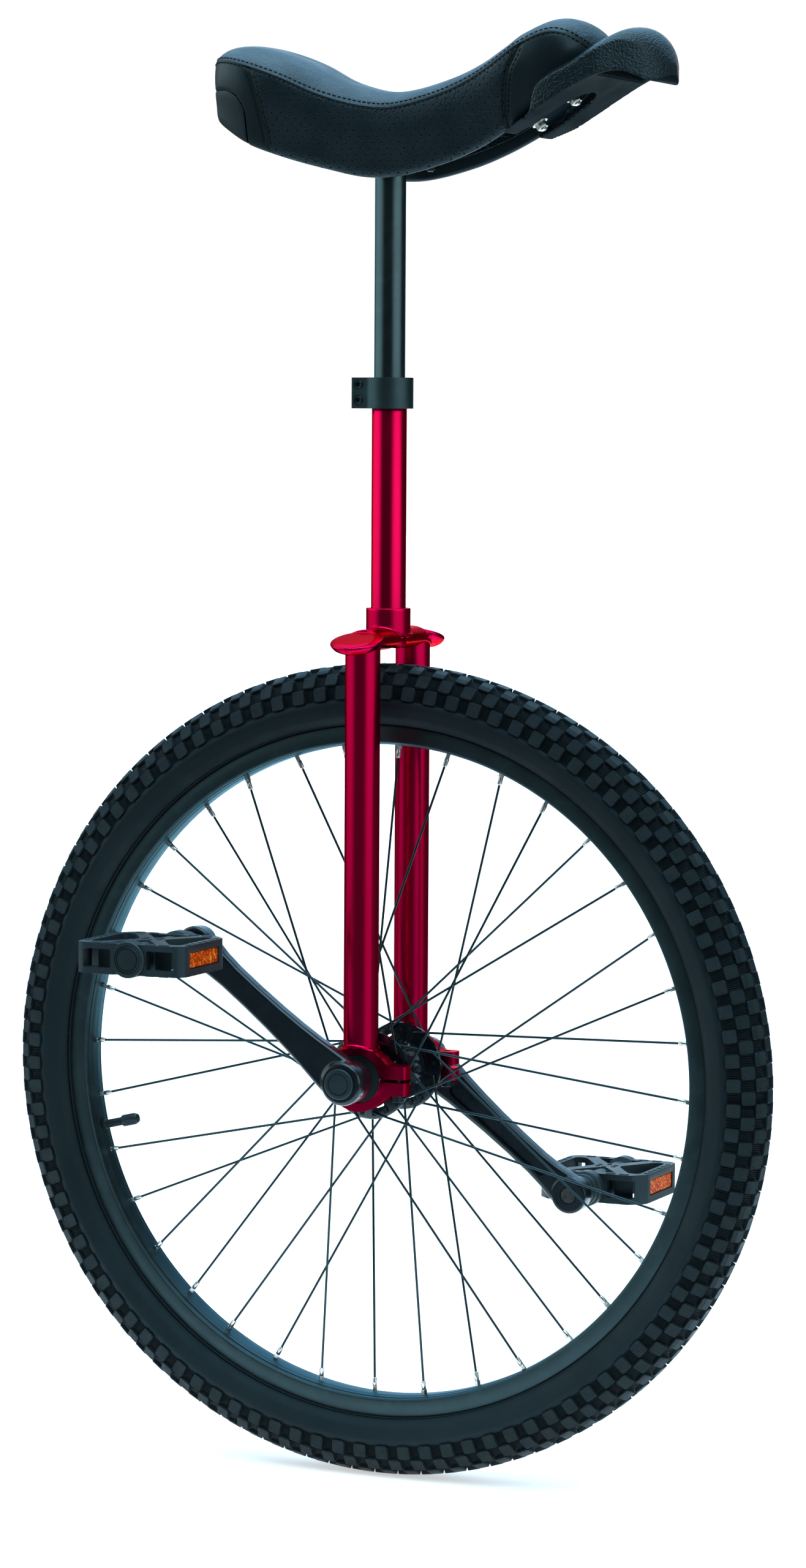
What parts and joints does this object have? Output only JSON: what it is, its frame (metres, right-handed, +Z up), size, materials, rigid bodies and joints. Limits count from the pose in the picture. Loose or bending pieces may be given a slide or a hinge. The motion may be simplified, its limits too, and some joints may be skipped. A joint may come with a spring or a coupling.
{
  "type": "unicycle",
  "caption": "Single-wheel pedal cycle: spoked wheel with fixed cranks and platform pedals, fork-like frame, clamped seat post and padded saddle with a front grip.",
  "frame": {"origin": "on the ground under the middle of the tyre, below the axle", "axes": "+X forwards (the saddle's grip end), +Y to the rider's left along the axle, +Z up"},
  "size_m": [0.672, 0.416, 1.189],
  "materials": {
    "tyre_rubber": "matt, slightly worn looking rubber",
    "butyl": "matt",
    "rim_black": "black anodised, satin",
    "spoke_black": "black, satin",
    "hub_black": "black, gloss",
    "bare_steel": "machined",
    "crank_black": "black, gloss",
    "cap_plastic": "matt",
    "pedal_plastic": "satin moulding",
    "reflector_amber": "clear amber with a prism pattern behind",
    "frame_red": "metallic red under clear coat",
    "fastener_black": "black oxide",
    "clamp_black": "black anodised, satin",
    "post_black": "black, semi-gloss",
    "saddle_vinyl": "grained and pricked vinyl, black",
    "saddle_foam": "moulded foam",
    "saddle_plastic": "pebbled moulding, black",
    "zinc": "bright zinc plate"
  },
  "bodies": {
    "frame": {"crown": "frame_red", "neck_tube": "frame_red", "leg_left": "frame_red", "leg_right": "frame_red", "bearing_holder_left": "frame_red", "bearing_holder_right": "frame_red", "bearing_outer_left": "bare_steel", "bearing_outer_right": "bare_steel", "pinch_bolt_left": "fastener_black", "pinch_bolt_right": "fastener_black"},
    "wheel": {"tyre": "tyre_rubber", "inner_tube": "butyl", "valve_cap": "cap_plastic", "rim": "rim_black", "rim_tape": "butyl", "spokes_left": "spoke_black", "spokes_right": "spoke_black", "hub_shell": "hub_black", "axle": "bare_steel", "bearing_inner_left": "bare_steel", "bearing_inner_right": "bare_steel", "bearing_balls_left": "bare_steel", "bearing_balls_right": "bare_steel", "crank_left": "crank_black", "crank_right": "crank_black", "crank_bolt_left": "bare_steel", "crank_bolt_right": "bare_steel", "dust_cap_left": "cap_plastic", "dust_cap_right": "cap_plastic", "pedal_spindle_left": "bare_steel", "pedal_spindle_right": "bare_steel"},
    "pedal_left": {"pedal_body_left": "pedal_plastic", "pedal_cap_left": "pedal_plastic", "reflector_front_left": "reflector_amber", "reflector_rear_left": "reflector_amber"},
    "pedal_right": {"pedal_body_right": "pedal_plastic", "pedal_cap_right": "pedal_plastic", "reflector_front_right": "reflector_amber", "reflector_rear_right": "reflector_amber"},
    "clamp": {"seat_clamp": "clamp_black", "clamp_bolt_lower": "fastener_black", "clamp_bolt_upper": "fastener_black"},
    "seat": {"seat_post": "post_black", "seat_plate": "post_black", "saddle_base": "saddle_plastic", "saddle_foam": "saddle_foam", "saddle_cover": "saddle_vinyl", "front_handle": "saddle_plastic", "rear_bumper": "saddle_plastic", "saddle_bolt_front_left": "zinc", "saddle_bolt_front_right": "zinc", "saddle_bolt_rear_left": "zinc", "saddle_bolt_rear_right": "zinc", "handle_bolt_front": "zinc", "handle_bolt_rear": "zinc"}
  },
  "joints": [
    {"name": "wheel_spin", "type": "hinge", "parent": "frame", "child": "wheel", "pos_m": [0, 0, 0.336], "axis": [0, 1, 0], "continuous": true},
    {"name": "pedal_spin_left", "type": "hinge", "parent": "wheel", "child": "pedal_left", "pos_m": [0.13304, 0.1625, 0.23017], "axis": [0, 1, 0], "continuous": true},
    {"name": "pedal_spin_right", "type": "hinge", "parent": "wheel", "child": "pedal_right", "pos_m": [-0.13304, -0.1625, 0.44183], "axis": [0, 1, 0], "continuous": true},
    {"name": "seat_swivel", "type": "hinge", "parent": "frame", "child": "clamp", "pos_m": [0, 0, 0.892], "axis": [0, 0, 1], "continuous": true},
    {"name": "seat_height", "type": "slide", "parent": "clamp", "child": "seat", "axis": [0, 0, 1], "range_m": [-0.08, 0.06]}
  ]
}
